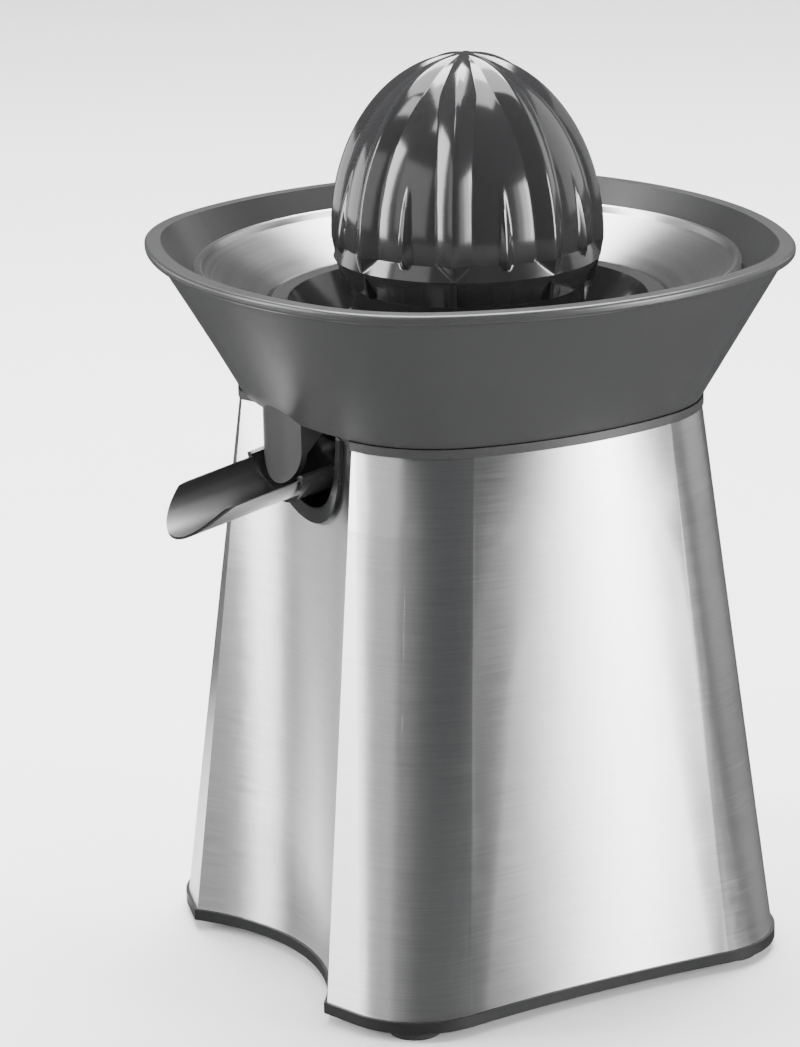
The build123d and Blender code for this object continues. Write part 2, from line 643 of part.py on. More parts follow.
def make_reamer():
    # Levels at equal angles on the ellipse, up to just under its pole
    levels = [BAND_Z] + [CREST_Z + CREST_HEIGHT * math.sin(math.radians(6 * i)) for i in range(1, 15)]
    dome = Solid.make_loft([dome_section(z) for z in levels], True)
    band = Solid.make_loft([
        star(LIP_Z, LIP_R - 0.5, LIP_R, 0.9, LIP_R - 0.45, 0.5), dome_section(BAND_Z)], True)
    skirt = revolved([
        (0, LIP_Z), (LIP_R - 0.5, LIP_Z), (LIP_R - 0.5, LIP_Z - 0.4), (NECK_R, NECK_TOP_Z),
        (NECK_R, NECK_BOTTOM_Z), (0, NECK_BOTTOM_Z)])
    reamer = dome + band + skirt
    for i in range(RIBS):
        turn = Rot(0, 0, RIB_PHASE + 360 / RIBS * i)
        fin = make_face(Polyline(
            (NECK_R - 1, 0, LIP_Z), (LIP_R - 0.5, 0, LIP_Z), (FIN_FOOT_R, 0, FIN_FOOT_Z),
            (NECK_R - 1, 0, FIN_FOOT_Z - 0.6), close=True))
        reamer += turn * extrude(fin, amount=FIN_THICK / 2, both=True)
    cavity = tube(NECK_R - NECK_WALL, SOCKET_BOSS_R, NECK_BOTTOM_Z, REAMER_CAVITY_TOP - NECK_BOTTOM_Z)
    socket_z = SHAFT_SHOULDER + SEAT_GAP
    below = tube(SOCKET_BOSS_R, 0, NECK_BOTTOM_Z, socket_z - NECK_BOTTOM_Z)
    bore = hexagon(TOP_HEX_FLATS + 2 * RUN, socket_z, SHAFT_TOP + 1 - socket_z)
    return reamer - cavity - below - bore


# Drive: shaft, return spring, gears and motor
def make_drive_shaft():
    shaft = hexagon(HEX_FLATS, SHAFT_BOTTOM, SHAFT_HEX_TOP - SHAFT_BOTTOM)
    shaft += tube(SHAFT_R, 0, SHAFT_HEX_TOP, SHAFT_SHOULDER - SHAFT_HEX_TOP)
    shaft += hexagon(TOP_HEX_FLATS, SHAFT_SHOULDER, SHAFT_TOP - SHAFT_SHOULDER)
    return shaft + tube(FLANGE_R, 0, FLANGE_Z, FLANGE_THICK)


def make_return_spring():
    low = HUB_TOP + SPRING_WIRE_R
    height = FLANGE_Z - SPRING_WIRE_R - low
    path = Helix(height / SPRING_TURNS, height, SPRING_COIL_R)
    section = Plane(origin=path @ 0, z_dir=path % 0) * Circle(SPRING_WIRE_R)
    return Pos(0, 0, low) * sweep(section, path=path)


def make_output_gear():
    wheel = gear(OUTPUT_TEETH, OUTPUT_Z, OUTPUT_WIDTH, SHAFT_R + 1, math.pi / 2)
    wheel += tube(HUB_R, 0, OUTPUT_Z, HUB_TOP - OUTPUT_Z)
    return wheel - hexagon(HEX_FLATS + 2 * RUN, OUTPUT_Z, HUB_TOP - OUTPUT_Z)


def make_hub_clip():
    clip_z = COVER_Z + COVER_THICK + SEAT_GAP
    clip = tube(HUB_R + 2.2, HUB_R, clip_z, 0.6)
    return clip - Pos(0, HUB_R, clip_z) * Box(4, 8, 4)


def make_output_bush():
    return tube(HUB_R + BUSH_WALL, HUB_R + RUN, COVER_Z, COVER_THICK)


def make_compound_gear():
    back = -math.pi / 2
    first = gear(FIRST_TEETH, FIRST_Z, FIRST_WIDTH, AXLE_R + RUN, back + math.pi / FIRST_TEETH)
    second_z = FIRST_Z + FIRST_WIDTH
    second = gear(SECOND_TEETH, second_z, SECOND_WIDTH, AXLE_R + RUN, back + math.pi / SECOND_TEETH)
    return Pos(0, GEAR_CENTRES, 0) * (first + second)


def make_compound_axle():
    low = CASE_Z + 1
    return tube(AXLE_R, 0, low, COVER_Z + COVER_THICK - 1 - low, (0, GEAR_CENTRES))


def make_motor_pinion():
    return gear(MOTOR_TEETH, PINION_Z, PINION_WIDTH, MOTOR_SHAFT_R, math.pi / 2)


def make_motor_shaft():
    return tube(MOTOR_SHAFT_R, 0, FAN_Z - 1, PINION_Z + PINION_WIDTH - FAN_Z + 1)


def make_rotor_core():
    return tube(STACK_BORE - AIR_GAP, MOTOR_SHAFT_R, STACK_Z + 1, STACK_HEIGHT - 2)


def make_fan():
    hub_r, disc = 8.0, 1.4
    fan = tube(hub_r, 0, FAN_Z, FAN_HEIGHT) + tube(FAN_R, 0, FAN_Z, disc)
    blade_length = FAN_R - hub_r + 1
    for i in range(FAN_BLADES):
        blade = Pos(hub_r - 1 + blade_length / 2, 0, FAN_Z + FAN_HEIGHT / 2) * Box(blade_length, disc, FAN_HEIGHT)
        fan += Rot(0, 0, 360 / FAN_BLADES * i) * blade
    return fan - tube(MOTOR_SHAFT_R, 0, FAN_Z, FAN_HEIGHT)


def gear_space(radius, z, height):
    """Slot-shaped solid round both gear axes."""
    slot = Pos(0, GEAR_CENTRES / 2) * Rot(0, 0, 90) * SlotOverall(GEAR_CENTRES + 2 * radius, 2 * radius)
    return Pos(0, 0, z) * extrude(slot, amount=height)


def make_gearbox_case():
    case = gear_space(CASE_R, CASE_Z, COVER_Z - CASE_Z)
    case += plate(BRACKET_HALF, -BRACKET_HALF, BRACKET_HALF, STACK_ROUND, CASE_Z, CASE_FLOOR)
    case += plate(COVER_HALF, COVER_FRONT_Y, COVER_REAR_Y, COVER_ROUND, COVER_Z - CASE_FLANGE, CASE_FLANGE)
    case -= gear_space(CASE_R - CASE_WALL, CASE_Z + CASE_FLOOR, COVER_Z - CASE_Z)
    case -= tube(MOTOR_SHAFT_R + BUSH_WALL, 0, CASE_Z, CASE_FLOOR)
    case -= tube(AXLE_R, 0, CASE_Z + 1, CASE_FLOOR, (0, GEAR_CENTRES))
    for at in corners(BOLT_AT, (-BOLT_AT, BOLT_AT)):
        case -= tube(BOLT_R, 0, CASE_Z, CASE_FLOOR, at)
    for at in corners(COVER_SCREW_X, COVER_SCREW_YS):
        case -= tube(SCREW_R, 0, COVER_Z - CASE_FLANGE, CASE_FLANGE, at)
    return case


def make_gearbox_cover():
    cover = plate(COVER_HALF, COVER_FRONT_Y, COVER_REAR_Y, COVER_ROUND, COVER_Z, COVER_THICK)
    cover -= tube(HUB_R + BUSH_WALL, 0, COVER_Z, COVER_THICK)
    cover -= tube(AXLE_R, 0, COVER_Z, COVER_THICK - 1, (0, GEAR_CENTRES))
    for at in corners(COVER_SCREW_X, COVER_SCREW_YS):
        cover -= tube(SCREW_R, 0, COVER_Z, COVER_THICK, at)
    return cover


def make_bracket(plate_z, leg_z, leg_height):
    """Motor end plate with four legs that stand on the stack."""
    bracket = plate(BRACKET_HALF, -BRACKET_HALF, BRACKET_HALF, STACK_ROUND, plate_z, BRACKET_THICK)
    bracket -= tube(MOTOR_SHAFT_R + BUSH_WALL, 0, plate_z, BRACKET_THICK)
    for at in corners(BOLT_AT, (-BOLT_AT, BOLT_AT)):
        bracket += tube(LEG_R, 0, leg_z, leg_height, at)
        low = min(plate_z, leg_z)
        bracket -= tube(BOLT_R, 0, low, leg_height + BRACKET_THICK, at)
    return bracket


def make_upper_bracket():
    stack_top = STACK_Z + STACK_HEIGHT
    return make_bracket(UPPER_BRACKET_Z, stack_top, UPPER_BRACKET_Z - stack_top)


def make_lower_bracket():
    leg_z = LOWER_BRACKET_Z + BRACKET_THICK
    return make_bracket(LOWER_BRACKET_Z, leg_z, STACK_Z - leg_z)


def coil(side, grow=0.0):
    """Racetrack winding round one pole, its sides standing in the stack's slots."""
    low, high = STACK_Z - COIL_END, STACK_Z + STACK_HEIGHT + COIL_END
    face = Pos(0, (low + high) / 2) * RectangleRounded(2 * (COIL_HALF + grow), high - low + 2 * grow, 5)
    face -= Pos(0, (low + high) / 2) * Rectangle(2 * (COIL_HALF - COIL_SIDE - grow), STACK_HEIGHT + 0.4 - 2 * grow)
    y = side * (COIL_Y + COIL_THICK / 2)
    return Pos(0, y, 0) * extrude(Plane.XZ * face, amount=COIL_THICK / 2 + grow, both=True)


def make_stator_stack():
    stack = plate(STACK_HALF, -STACK_HALF, STACK_HALF, STACK_ROUND, STACK_Z, STACK_HEIGHT)
    stack -= tube(STACK_BORE, 0, STACK_Z, STACK_HEIGHT)
    for side in (-1, 1):
        for x in (-1, 1):
            width = COIL_SIDE + 2 * FIT
            slot = Box(width, COIL_THICK + 2 * FIT, STACK_HEIGHT)
            slot_at = (x * (COIL_HALF - COIL_SIDE / 2), side * (COIL_Y + COIL_THICK / 2))
            stack -= Pos(slot_at[0], slot_at[1], STACK_Z + STACK_HEIGHT / 2) * slot
    for at in corners(BOLT_AT, (-BOLT_AT, BOLT_AT)):
        stack -= tube(BOLT_R, 0, STACK_Z, STACK_HEIGHT, at)
    return stack


def make_field_coils():
    return Compound([coil(side) for side in (-1, 1)])


def make_motor_bushes():
    inner, outer = MOTOR_SHAFT_R + RUN, MOTOR_SHAFT_R + BUSH_WALL
    upper = tube(outer, inner, UPPER_BRACKET_Z, BRACKET_THICK + CASE_FLOOR)
    lower = tube(outer, inner, LOWER_BRACKET_Z, BRACKET_THICK)
    return Compound([upper, lower])


# Fasteners, in groups
def screw(at, head_z, length, radius=SCREW_R, head_r=SCREW_HEAD_R):
    """Cap screw driven upwards from its head."""
    return tube(head_r, 0, head_z, SCREW_HEAD, at) + tube(radius, 0, head_z + SCREW_HEAD, length, at)


def make_base_screws():
    length = Z_SHELL + SCREW_LENGTH - 2 - Z_TRAY - SCREW_HEAD
    return Compound([screw(at, Z_TRAY, length) for at in corners(POST_AT, (-POST_AT, POST_AT))])


def make_gearbox_screws():
    head_z = COVER_Z - CASE_FLANGE - SCREW_HEAD
    length = CASE_FLANGE + SCREW_LENGTH - 2
    return Compound([screw(at, head_z, length) for at in corners(COVER_SCREW_X, COVER_SCREW_YS)])


def make_motor_bolts():
    head_z = LOWER_BRACKET_Z - SCREW_HEAD
    length = CASE_Z + CASE_FLOOR - LOWER_BRACKET_Z
    places = corners(BOLT_AT, (-BOLT_AT, BOLT_AT))
    return Compound([screw(at, head_z, length, BOLT_R) for at in places])


# Switch that the shaft's flange presses
def make_switch_body():
    x, y, height = SWITCH_SIZE
    base = COVER_Z + COVER_THICK
    body = Pos(0, SWITCH_Y, base + height / 2) * Box(x, y, height)
    return body - tube(PLUNGER_R + RUN, 0, base + height - PLUNGER_DEPTH, PLUNGER_DEPTH, (0, SWITCH_Y))


def make_switch_plunger():
    top = FLANGE_Z - SEAT_GAP
    return tube(PLUNGER_R, 0, top - PLUNGER_LENGTH, PLUNGER_LENGTH, (0, SWITCH_Y))


# Spout: drawn level with its nose towards -Y, then tilted about its trunnions
def channel(outer_r, thick, half, start, end, top=SPOUT_EDGE_V):
    """Sheet bent to a shallow arc, from start to end along the spout."""
    arc_v = SPOUT_EDGE_V - SPOUT_DEPTH + SPOUT_ARC_R
    ring = Pos(0, arc_v) * Circle(outer_r) - Pos(0, arc_v) * Circle(outer_r - thick)
    ring &= Pos(0, top - outer_r) * Rectangle(2 * half, 2 * outer_r)
    return Pos(0, -start, 0) * extrude(Plane.XZ * ring, amount=end - start)


SPOUT_ARC_R = (SPOUT_HALF ** 2 + SPOUT_DEPTH ** 2) / (2 * SPOUT_DEPTH)
SPOUT_PLACE = Pos(0, SPOUT_Y, SPOUT_Z) * Rot(SPOUT_SLOPE, 0, 0)


def make_spout_trough():
    reach = SPOUT_STRAIGHT + SPOUT_NOSE
    trough = channel(SPOUT_ARC_R, SHEET, SPOUT_HALF, SPOUT_START, reach + 1)
    plan = Pos(0, -SPOUT_STRAIGHT / 2) * Rectangle(2 * SPOUT_HALF + 1, SPOUT_STRAIGHT)
    plan += Pos(0, -SPOUT_STRAIGHT) * Ellipse(SPOUT_HALF + 0.5, SPOUT_NOSE)
    return SPOUT_PLACE * (trough & Pos(0, 0, -REACH) * extrude(plan, amount=2 * REACH))


def make_spout_carrier():
    half = POCKET_HALF - POCKET_WALL - 4 * FIT
    outer_r = SPOUT_ARC_R + CARRIER_WALL
    thick = CARRIER_WALL + SHEET + CARRIER_LINING
    top = SPOUT_EDGE_V + CARRIER_PROUD
    carrier = channel(outer_r, thick, half, CARRIER_START, CARRIER_END, top)
    # The sheet sits in a groove between the outer wall and the lining
    carrier -= channel(SPOUT_ARC_R, SHEET, SPOUT_HALF, SPOUT_START, CARRIER_END + 1)
    carrier += channel(outer_r, outer_r - 1, half, CARRIER_START, CARRIER_START + CARRIER_WALL, top)
    trunnion_x = POCKET_HALF - 4 * FIT - TRUNNION_LENGTH / 2
    for side in (-1, 1):
        carrier += Pos(side * trunnion_x, 0, 0) * Rot(0, 90, 0) * Cylinder(TRUNNION_R, TRUNNION_LENGTH)
    return SPOUT_PLACE * carrier


parts["steel_shell"] = make_shell()
parts["base_tray"] = make_base_tray()
parts["feet"] = make_feet()
parts["top_collar"] = make_collar()
parts["inner_frame"] = make_inner_frame()
parts["shaft_seal"] = make_shaft_seal()
parts["shaft_bush"] = make_shaft_bush()
parts["spout_pocket"] = make_pocket()
parts["cord_gland"] = make_gland()
parts["bowl"] = make_bowl()
parts["steel_dish"] = make_dish()
parts["strainer_basket"] = make_basket()
parts["reamer"] = make_reamer()
parts["drive_shaft"] = make_drive_shaft()
parts["return_spring"] = make_return_spring()
parts["output_gear"] = make_output_gear()
parts["hub_clip"] = make_hub_clip()
parts["output_bush"] = make_output_bush()
parts["compound_gear"] = make_compound_gear()
parts["compound_axle"] = make_compound_axle()
parts["motor_pinion"] = make_motor_pinion()
parts["motor_shaft"] = make_motor_shaft()
parts["rotor_core"] = make_rotor_core()
parts["cooling_fan"] = make_fan()
parts["gearbox_case"] = make_gearbox_case()
parts["gearbox_cover"] = make_gearbox_cover()
parts["upper_bracket"] = make_upper_bracket()
parts["lower_bracket"] = make_lower_bracket()
parts["stator_stack"] = make_stator_stack()
parts["field_coils"] = make_field_coils()
parts["motor_bushes"] = make_motor_bushes()
parts["base_screws"] = make_base_screws()
parts["gearbox_screws"] = make_gearbox_screws()
parts["motor_bolts"] = make_motor_bolts()
parts["switch_body"] = make_switch_body()
parts["switch_plunger"] = make_switch_plunger()
parts["spout_trough"] = make_spout_trough()
parts["spout_carrier"] = make_spout_carrier()

for name, shape in parts.items():
    export_step(Pos(0, AXIS_Y, 0) * shape, f"parts/{name}.step")
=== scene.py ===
# %% [markdown]
# # Electric citrus press
# This lesson dresses a finished CAD model of a motor-driven citrus press in Blender.
# The first thing to keep is the CAD model's own box, because dressing a model must not
# change its size.

# %% Load the frame
import bpy
import json
import math
import numpy as np
from mathutils import Matrix, Vector


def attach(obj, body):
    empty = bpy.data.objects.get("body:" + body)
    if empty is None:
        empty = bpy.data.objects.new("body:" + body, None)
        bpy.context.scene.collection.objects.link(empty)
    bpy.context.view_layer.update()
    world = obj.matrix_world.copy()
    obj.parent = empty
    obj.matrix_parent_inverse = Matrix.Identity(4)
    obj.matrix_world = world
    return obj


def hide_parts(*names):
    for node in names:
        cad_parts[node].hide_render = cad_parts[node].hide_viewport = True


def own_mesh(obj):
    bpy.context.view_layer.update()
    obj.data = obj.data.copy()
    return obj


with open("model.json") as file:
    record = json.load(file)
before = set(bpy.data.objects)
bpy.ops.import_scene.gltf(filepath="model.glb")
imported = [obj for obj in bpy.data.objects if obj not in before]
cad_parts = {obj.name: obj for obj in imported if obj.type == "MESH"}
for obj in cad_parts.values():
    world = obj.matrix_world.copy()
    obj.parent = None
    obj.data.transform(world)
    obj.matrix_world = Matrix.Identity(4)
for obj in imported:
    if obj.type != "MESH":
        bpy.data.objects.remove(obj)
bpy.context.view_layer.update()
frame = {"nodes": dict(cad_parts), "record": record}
nodes = frame["nodes"]

MM = 0.001
AXIS_Y = 3.9 * MM

# %% [markdown]
# ## Camera
# The photograph was taken with a long lens from the right of the spout, a little above
# the rim. Its place, turn and focal length were worked out from the rim, the collar and
# the base, all of known size. The frame is 800 wide and 1047 high, so the larger side,
# the height, is the one that Blender fits to the sensor.

# %% Place the camera
PHOTO_WIDTH, PHOTO_HEIGHT = 800, 1047
CAMERA_AT = Vector((1030.54, -600.80, 493.55)) * MM + Vector((0, AXIS_Y, 0))
CAMERA_FORWARD = Vector((-0.83565, 0.46684, -0.28939)).normalized()
CAMERA_ROLL = math.radians(-1.097)
FOCAL_PIXELS = 4038.5
SENSOR = 36.0


def add_camera():
    """A camera from its place, forward direction, roll and focal length in pixels."""
    data = bpy.data.cameras.new("photo_camera")
    data.sensor_fit = "VERTICAL"
    data.sensor_height = SENSOR
    data.lens = FOCAL_PIXELS * SENSOR / PHOTO_HEIGHT
    data.clip_end = 20.0
    camera = bpy.data.objects.new("photo_camera", data)
    right = CAMERA_FORWARD.cross(Vector((0, 0, 1))).normalized()
    up = right.cross(CAMERA_FORWARD)
    rolled_right = right * math.cos(CAMERA_ROLL) + up * math.sin(CAMERA_ROLL)
    rolled_up = rolled_right.cross(CAMERA_FORWARD)
    turn = Matrix((rolled_right, rolled_up, -CAMERA_FORWARD)).transposed()
    camera.matrix_world = Matrix.Translation(CAMERA_AT) @ turn.to_4x4()
    bpy.context.scene.collection.objects.link(camera)
    bpy.context.scene.camera = camera
    return camera


camera = add_camera()
print("lens, mm:", round(camera.data.lens, 1))

# %% [markdown]
# ## Studio
# Brushed steel shows the room more than itself, so the lights matter as much as the
# material. The side of the sleeve is almost flat, so it mirrors one narrow part of the
# room. A large soft box is brightest in its middle and fades to its edges: here it is a
# row of narrow upright strips, each with its own power. A second box at the front lights
# the sharp edge, and the corner between them mirrors the dim part of the room, which
# gives the dark band. Each lamp is placed by its bearing round the object, counted from
# +X. The paper floor takes no part in mirror images, as if it ended under the object.
# Only a white card on it, at the object's far side, is seen in them, and lights the end
# of the bowl.

# %% Floor and card
FLOOR_FLAT, FLOOR_BEND, FLOOR_HEIGHT = 2.4, 0.9, 3.2
BEND_STEPS, FLOOR_TURNS = 10, 64
CARD_CORNERS = ((-1, -1), (1, -1), (1, 1), (-1, 1))
CARD_BEARING, CARD_DISTANCE, CARD_SIZE, CARD_LIFT = 197, 0.17, (0.17, 0.16), 0.5 * MM


def bearing_vector(bearing):
    """The level direction at a bearing in degrees, counted from +X."""
    turn = math.radians(bearing)
    return Vector((math.cos(turn), math.sin(turn), 0))


def add_sheet(name, points, faces):
    """A studio sheet that takes no part in the object."""
    mesh = bpy.data.meshes.new(name)
    mesh.from_pydata([tuple(p) for p in points], [], faces)
    mesh.polygons.foreach_set("use_smooth", [True] * len(faces))
    sheet = bpy.data.objects.new(name, mesh)
    bpy.context.scene.collection.objects.link(sheet)
    return sheet


def add_floor():
    """A pale round floor that rises on all sides like studio paper."""
    rows = [(FLOOR_FLAT / 2, 0.0), (FLOOR_FLAT, 0.0)]
    for i in range(1, BEND_STEPS + 1):
        a = 0.5 * math.pi * i / BEND_STEPS
        rows.append((FLOOR_FLAT + FLOOR_BEND * math.sin(a), FLOOR_BEND * (1 - math.cos(a))))
    rows.append((FLOOR_FLAT + FLOOR_BEND, FLOOR_HEIGHT))
    points, faces = [(0, 0, 0)], []
    for row, (reach, z) in enumerate(rows):
        start = 1 + row * FLOOR_TURNS
        for k in range(FLOOR_TURNS):
            a = 2 * math.pi * k / FLOOR_TURNS
            points.append((reach * math.cos(a), reach * math.sin(a), z))
            here, beside = start + k, start + (k + 1) % FLOOR_TURNS
            inner = [here - FLOOR_TURNS, here, beside, beside - FLOOR_TURNS]
            faces.append(inner if row else [0, here, beside])
    return add_sheet("studio_floor", points, faces)


def add_card():
    """A white card that lies on the floor."""
    out, along = bearing_vector(CARD_BEARING), bearing_vector(CARD_BEARING + 90)
    length, width = CARD_SIZE
    middle = CARD_DISTANCE * out + Vector((0, 0, CARD_LIFT))
    corners = [middle + 0.5 * (a * length * out + b * width * along) for a, b in CARD_CORNERS]
    return add_sheet("floor_card", corners, [(0, 1, 2, 3)])


floor = add_floor()
floor.visible_glossy = False
card = add_card()
card.visible_camera = card.visible_diffuse = card.visible_shadow = False
print("studio sheets:", floor.name, card.name)

# %% Lights
STRIP_DISTANCE, STRIP_HEIGHT, STRIP_AIM, STRIP_SIZE = 1.6, 0.35, 0.3, (0.168, 0.9)
STRIP_POWERS = {13: 0.2, 19: 1.5, 25: 6, 31: 13, 37: 19, 43: 12, 49: 2.4, 55: 0.7}
# Name, bearing, distance, height, height aimed at, size, watts
SOFT_BOXES = (
    ("edge_box", -114, 1.6, 0.62, 0.3, (0.50, 1.2), 42),
    ("front_fill", -82, 1.9, 0.7, 0.3, (1.1, 1.2), 9),
    ("rear_fill", 92, 1.9, 0.7, 0.3, (1.3, 1.2), 7),
    ("low_fill", -150, 1.6, 0.25, 0.2, (0.9, 0.5), 5),
    ("high_front", -72, 0.8, 1.6, 0.25, (0.40, 0.4), 6),
    ("top_box", 150, 0.35, 1.5, 0.2, (1.3, 1.3), 60),
    ("paper_wash", 150, 0.9, 1.9, -0.6, (1.6, 0.8), 90),
)
ROOM_COLOUR, ROOM_STRENGTH = (0.95, 0.97, 1.0, 1), 0.14


def add_soft_box(name, bearing, distance, height, aim_z, size, watts):
    """A rectangular area light at a bearing in degrees, facing the object's axis."""
    data = bpy.data.lights.new(name, "AREA")
    data.shape = "RECTANGLE"
    data.size, data.size_y = size
    data.energy = watts
    place = distance * bearing_vector(bearing) + Vector((0, 0, height))
    lamp = bpy.data.objects.new(name, data)
    lamp.location = place
    lamp.rotation_euler = (Vector((0, 0, aim_z)) - place).to_track_quat("-Z", "Y").to_euler()
    bpy.context.scene.collection.objects.link(lamp)


for bearing, watts in STRIP_POWERS.items():
    name = f"side_strip_{bearing}"
    add_soft_box(name, bearing, STRIP_DISTANCE, STRIP_HEIGHT, STRIP_AIM, STRIP_SIZE, watts)
for soft_box in SOFT_BOXES:
    add_soft_box(*soft_box)

world = bpy.data.worlds.new("studio_room")
world.use_nodes = True
room = world.node_tree.nodes["Background"]
room.inputs["Color"].default_value = ROOM_COLOUR
room.inputs["Strength"].default_value = ROOM_STRENGTH
bpy.context.scene.world = world

# %% [markdown]
# ## Node maths
# A finish, or a shape that follows a rule, is easier to read as a sum than as a drawing
# of boxes and wires. The first class below wraps a socket, so that `0.3 + 0.1 * streaks`
# adds the two Math nodes itself. Every other node comes from one method of the tree that
# holds it, and the same two classes serve both shaders and geometry.

# %% Values and trees


class Value:
    """A socket that can take part in a sum."""

    def __init__(self, graph, socket):
        self.graph = graph
        self.socket = socket

    def maths(self, operation, a, b=0.0, held=False):
        settings = {"operation": operation, "use_clamp": held}
        return self.graph.node("ShaderNodeMath", settings, {0: a, 1: b})

    def __add__(self, other):
        return self.maths("ADD", self, other)

    __radd__ = __add__

    def __sub__(self, other):
        return self.maths("SUBTRACT", self, other)

    def __rsub__(self, other):
        return self.maths("SUBTRACT", other, self)

    def __mul__(self, other):
        return self.maths("MULTIPLY", self, other)

    __rmul__ = __mul__

    def __truediv__(self, other):
        return self.maths("DIVIDE", self, other)

    def __rtruediv__(self, other):
        return self.maths("DIVIDE", other, self)

    def __mod__(self, other):
        return self.maths("FLOORED_MODULO", self, other)

    def __pow__(self, other):
        return self.maths("POWER", self, other)

    def __abs__(self):
        return self.maths("ABSOLUTE", self)

    def __lt__(self, other):
        return self.maths("LESS_THAN", self, other)

    def at_most(self, other):
        return self.maths("MINIMUM", self, other)

    def at_least(self, other):
        return self.maths("MAXIMUM", self, other)

    def held(self):
        """The value, kept between 0 and 1."""
        return self.maths("ADD", self, 0.0, held=True)

    def other_output(self, name):
        return Value(self.graph, self.socket.node.outputs[name])


class Graph:
    """A node tree whose nodes all come from one method."""

    def __init__(self, tree):
        self.tree = tree

    def node(self, kind, settings=None, sockets=None, out=0):
        made = self.tree.nodes.new(kind)
        for name, value in (settings or {}).items():
            setattr(made, name, value)
        for name, value in (sockets or {}).items():
            for one in value if isinstance(value, list) else [value]:
                if isinstance(one, Value):
                    self.tree.links.new(one.socket, made.inputs[name])
                else:
                    made.inputs[name].default_value = one
        return Value(self, made.outputs[out])

    def about_axis(self, place):
        """The three coordinates of a place, counted from the reamer's axis."""
        x = self.node("ShaderNodeSeparateXYZ", None, {0: place})
        return x, x.other_output("Y") - AXIS_Y, x.other_output("Z")


class Finish(Graph):
    """A material whose look is built from nodes on Object coordinates."""

    def __init__(self, name, **constants):
        self.material = bpy.data.materials.new(name)
        self.material.use_nodes = True
        super().__init__(self.material.node_tree)
        self.shader = self.tree.nodes["Principled BSDF"]
        for socket, value in constants.items():
            self.shader.inputs[socket.replace("_", " ")].default_value = value
        self.place = self.node("ShaderNodeTexCoord", out="Object")

    def feed(self, socket, value):
        self.tree.links.new(value.socket, self.shader.inputs[socket])

    def stretched(self, x, y, z):
        """Object coordinates, scaled by a different amount along each axis."""
        return self.node("ShaderNodeMapping", None, {"Vector": self.place, "Scale": (x, y, z)})

    def noise(self, scale, detail=2.0, vector=None):
        sockets = {"Vector": vector or self.place, "Scale": scale, "Detail": detail}
        return self.node("ShaderNodeTexNoise", None, sockets)

    def tint(self, share, dark, light):
        """A colour between two greys or hues, by a share from 0 to 1."""
        ends = [c if isinstance(c, Value) else (*c, 1) for c in (dark, light)]
        sockets = {0: share, 6: ends[0], 7: ends[1]}
        return self.node("ShaderNodeMix", {"data_type": "RGBA"}, sockets, out=2)

    def relief(self, height, strength, distance):
        sockets = {"Height": height, "Strength": strength, "Distance": distance}
        self.feed("Normal", self.node("ShaderNodeBump", None, sockets))


print("node classes ready")

# %% [markdown]
# ## Steel
# The sleeve is brushed round, the dish is spun, and the spout is brushed along its
# length. All three are the same idea: a noise that is drawn out along the brushing and
# fine across it drives the colour, the roughness and a very slight relief. The sleeve's
# sheet also has a soft crown between its corners, the more so towards the foot. Its
# outline doesn't show it, but its mirror image does, so here a broad relief bends the
# image and leaves the shape alone. The spout's channel is a rougher satin than its
# outside, and its colour there is darkened as painted shade for the dark bowl it mirrors.

# %% Three brushed steels
CLOUD_SCALE, LINE_SHARE, LINE_ROUGH, CLOUD_ROUGH = 14.0, 0.75, 0.16, 0.05
CROWN_FLAT, CROWN_END = 44 * MM, 60 * MM
CROWN_TILT, CROWN_TOP, CROWN_SPAN = 0.28, 150 * MM, 143.5 * MM
BLEND_START, BLEND_LEAN, BLEND_WIDTH, BLEND_DEPTH = 40.5 * MM, 0.149, 14 * MM, 0.62 * MM
FINE_LINES = 1.2e-5
SPOUT_Y, SPOUT_Z, SPOUT_SLOPE = -50.8 * MM, 160.9 * MM, math.radians(11)
SPOUT_ARC_R, SPOUT_ARC_RISE, SPOUT_SHEET = 18.7 * MM, 12.7 * MM, 0.8 * MM
# The channel's darker tone is painted shade for the dark bowl it mirrors; its added roughness is a
# satin finish.
CHANNEL_SHADE_SHARE, CHANNEL_SHADE_TONE, CHANNEL_ROUGH = 0.8, (0.05, 0.05, 0.052), 0.14


def crown(steel):
    """Height of the sheet's crown in metres: it falls away from the middle of each side
    but the front, and a last bit blends it into the round of the corner."""
    x, y, z = steel.about_axis(steel.place)
    front = y < -1 * abs(x)
    aside = abs(x).at_most(abs(y)) + CROWN_END * front
    flat = aside.at_most(CROWN_FLAT)
    corner = 1 - ((aside - CROWN_FLAT) / (CROWN_END - CROWN_FLAT)).held()
    fall = flat * flat / (2 * CROWN_FLAT) + (CROWN_END - CROWN_FLAT) / 2 * (1 - corner * corner)
    ease = ((aside - BLEND_START + BLEND_LEAN * z) / BLEND_WIDTH).held()
    blend = BLEND_DEPTH * ease * ease * (3 - 2 * ease)
    return -1 * ((CROWN_TOP - z) / CROWN_SPAN).held() * (CROWN_TILT * fall + blend)


def channel(steel):
    """1 on the inside of the spout's trough, 0 on its outside."""
    x, y, z = steel.about_axis(steel.place)
    above = (z - SPOUT_Z) * math.cos(SPOUT_SLOPE) - (y - SPOUT_Y) * math.sin(SPOUT_SLOPE)
    rise = above - SPOUT_ARC_RISE
    return (x * x + rise * rise) ** 0.5 < SPOUT_ARC_R - SPOUT_SHEET / 2


